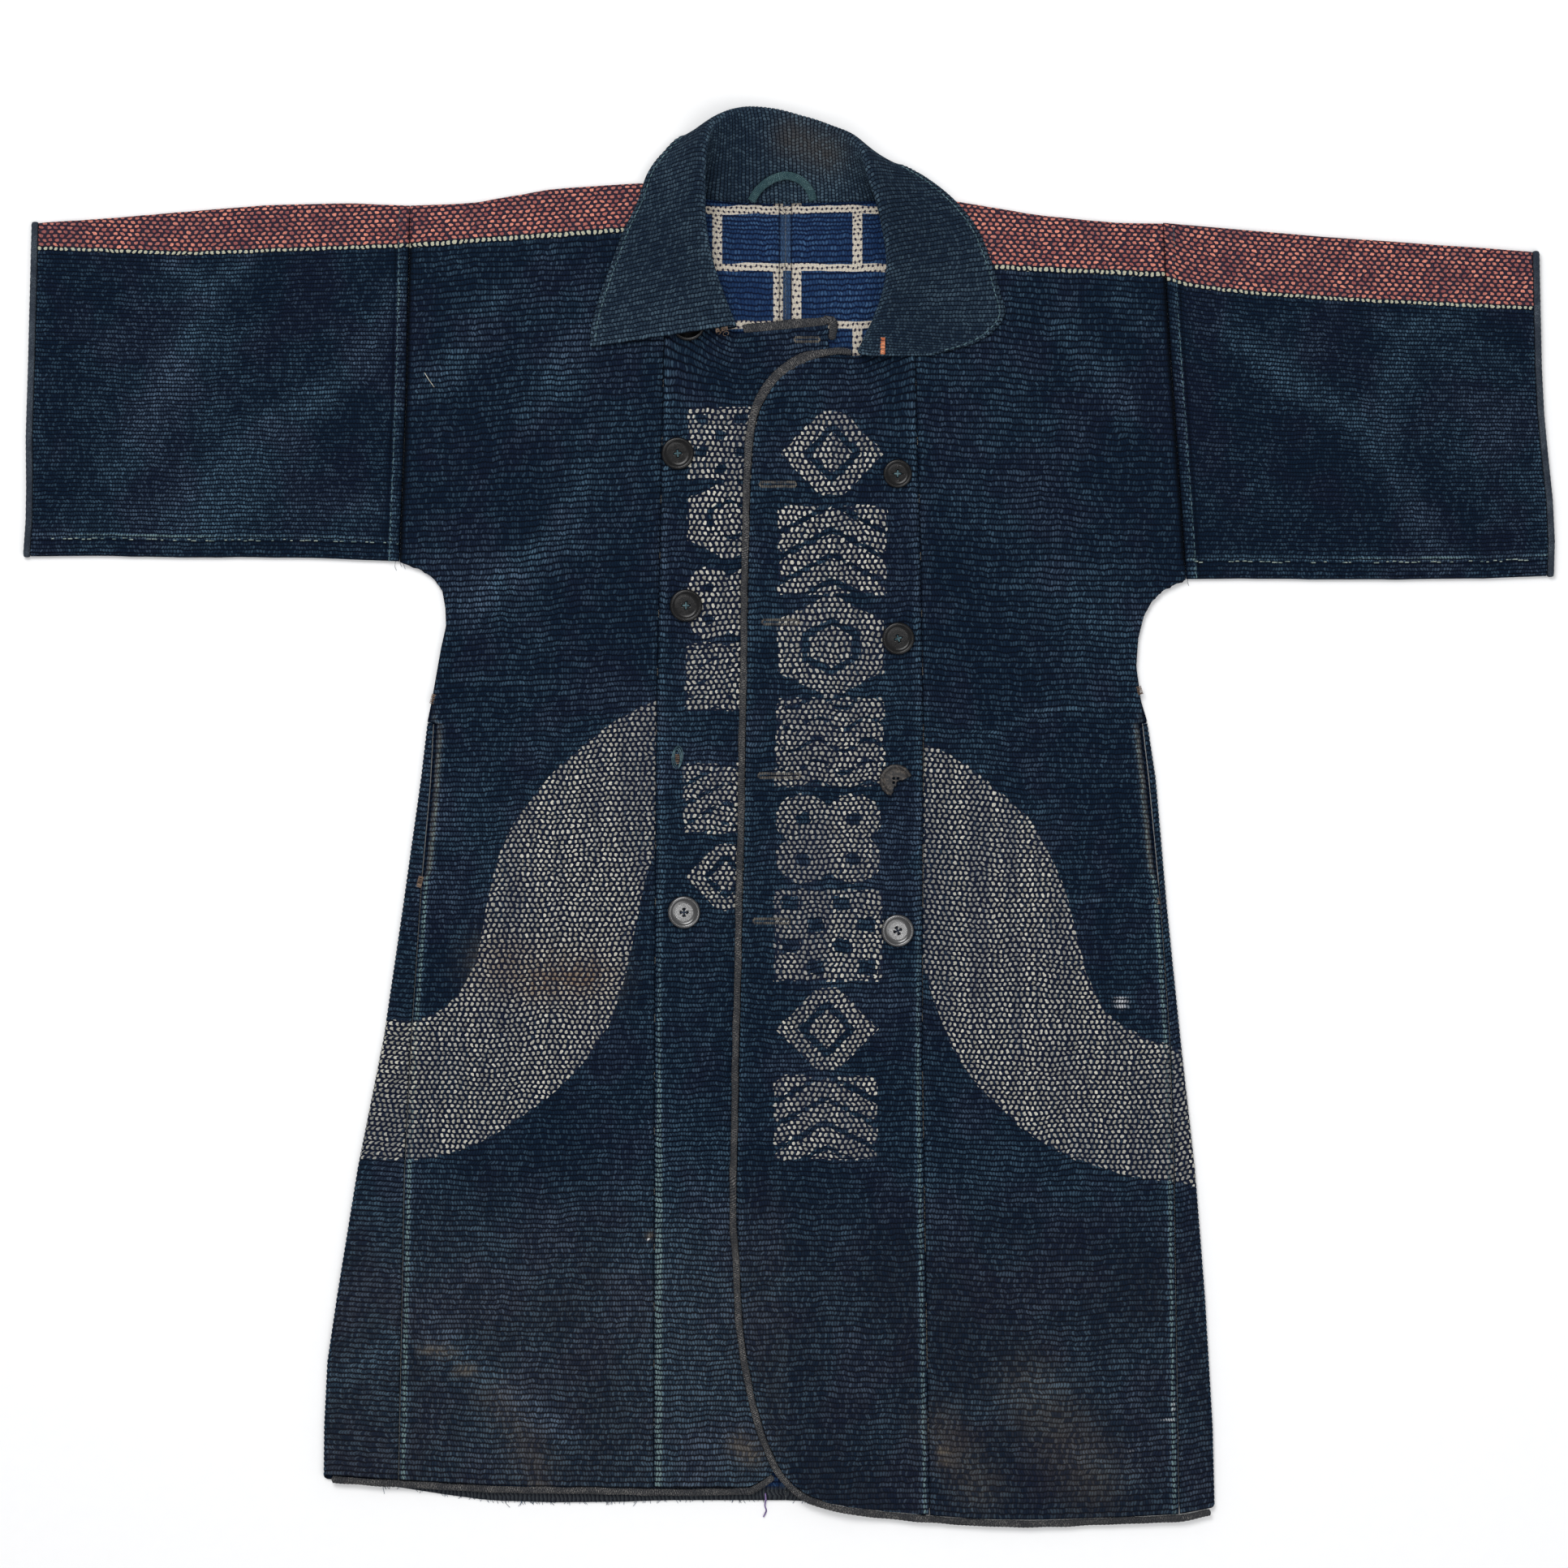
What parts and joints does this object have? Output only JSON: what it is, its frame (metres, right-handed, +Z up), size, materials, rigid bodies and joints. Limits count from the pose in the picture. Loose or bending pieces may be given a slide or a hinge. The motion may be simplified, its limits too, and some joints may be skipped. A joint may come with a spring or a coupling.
{
  "type": "fireman jacket",
  "caption": "Double-breasted fireman's jacket of thick ribbed indigo cotton, laid flat with the front up: wide sleeves, rolled collar, bound edges, side gores.",
  "frame": {"origin": "on the surface that the jacket lies on, under the middle of its outline", "axes": "+X across the shoulders towards the wearer's left sleeve, +Y from hem to collar, +Z up, out of the front"},
  "size_m": [1.2064, 1.1194, 0.0353],
  "materials": {
    "indigo_cloth": "ribbed, matte, worn",
    "collar_cloth": "ribbed, matte",
    "binding_tape": "matte tape",
    "loop_tape": "matte tape",
    "button_black": "gloss, scratched"
  },
  "bodies": {
    "root": {"body_right": "indigo_cloth", "body_left": "indigo_cloth", "gore_right": "indigo_cloth", "gore_left": "indigo_cloth", "band_right": "indigo_cloth", "band_left": "indigo_cloth", "sleeve_right": "indigo_cloth", "sleeve_left": "indigo_cloth", "collar": "collar_cloth", "hanger_loop": "loop_tape", "binding_left": "binding_tape", "binding_neck_right": "binding_tape", "binding_hem_right": "binding_tape", "binding_cuff_right": "binding_tape", "binding_cuff_left": "binding_tape", "button_right_top": "button_black", "button_right_upper": "button_black", "button_right_middle": "button_black", "button_right_low": "button_black", "button_left_upper": "button_black", "button_left_middle": "button_black", "button_left_broken": "button_black", "button_left_low": "button_black"}
  },
  "joints": []
}
